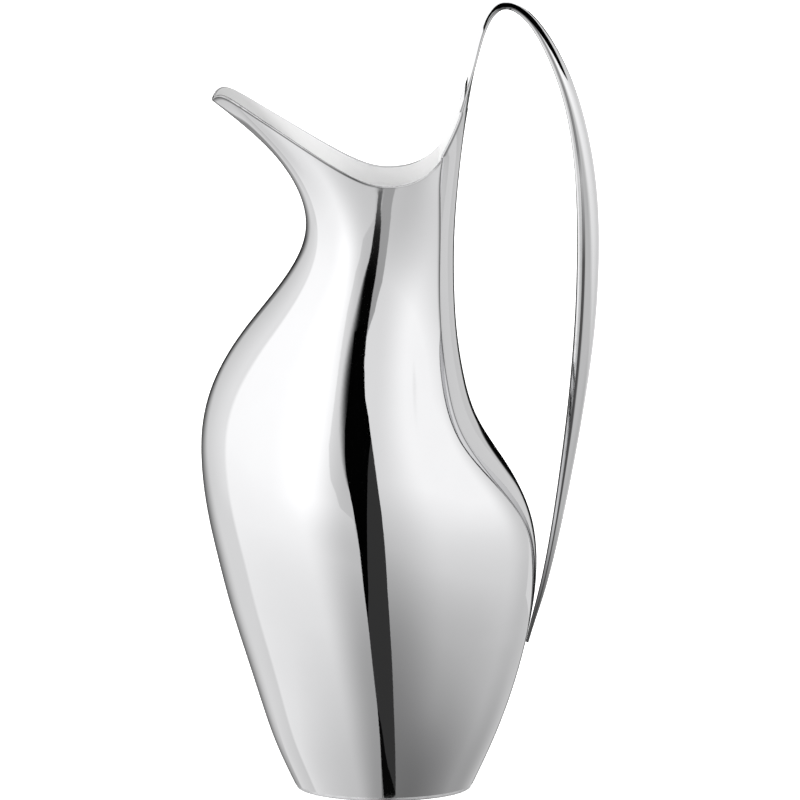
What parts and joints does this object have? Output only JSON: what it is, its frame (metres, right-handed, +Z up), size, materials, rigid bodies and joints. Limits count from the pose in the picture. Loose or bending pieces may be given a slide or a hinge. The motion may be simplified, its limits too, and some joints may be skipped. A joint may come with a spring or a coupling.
{
  "type": "silver water pitcher",
  "caption": "Mirror-polished steel water pitcher with a full body, a long open spout, a creased back panel and a hollow handle looped from mouth to back.",
  "frame": {"origin": "centre of the round face that the pitcher stands on", "axes": "+Z up, the spout points to -X, the handle lies at +X, and y = 0 is the plane of symmetry"},
  "size_m": [0.1287, 0.1008, 0.257],
  "materials": {
    "body_steel": "mirror polished stainless steel",
    "panel_steel": "mirror polished stainless steel",
    "base_steel": "satin, turned in circles",
    "handle_steel": "mirror polished stainless steel"
  },
  "bodies": {
    "root": {"left_body_shell": "body_steel", "right_body_shell": "body_steel", "back_panel": "panel_steel", "base_plate": "base_steel", "handle_outer_shell": "handle_steel", "handle_inner_strip": "handle_steel"}
  },
  "joints": []
}
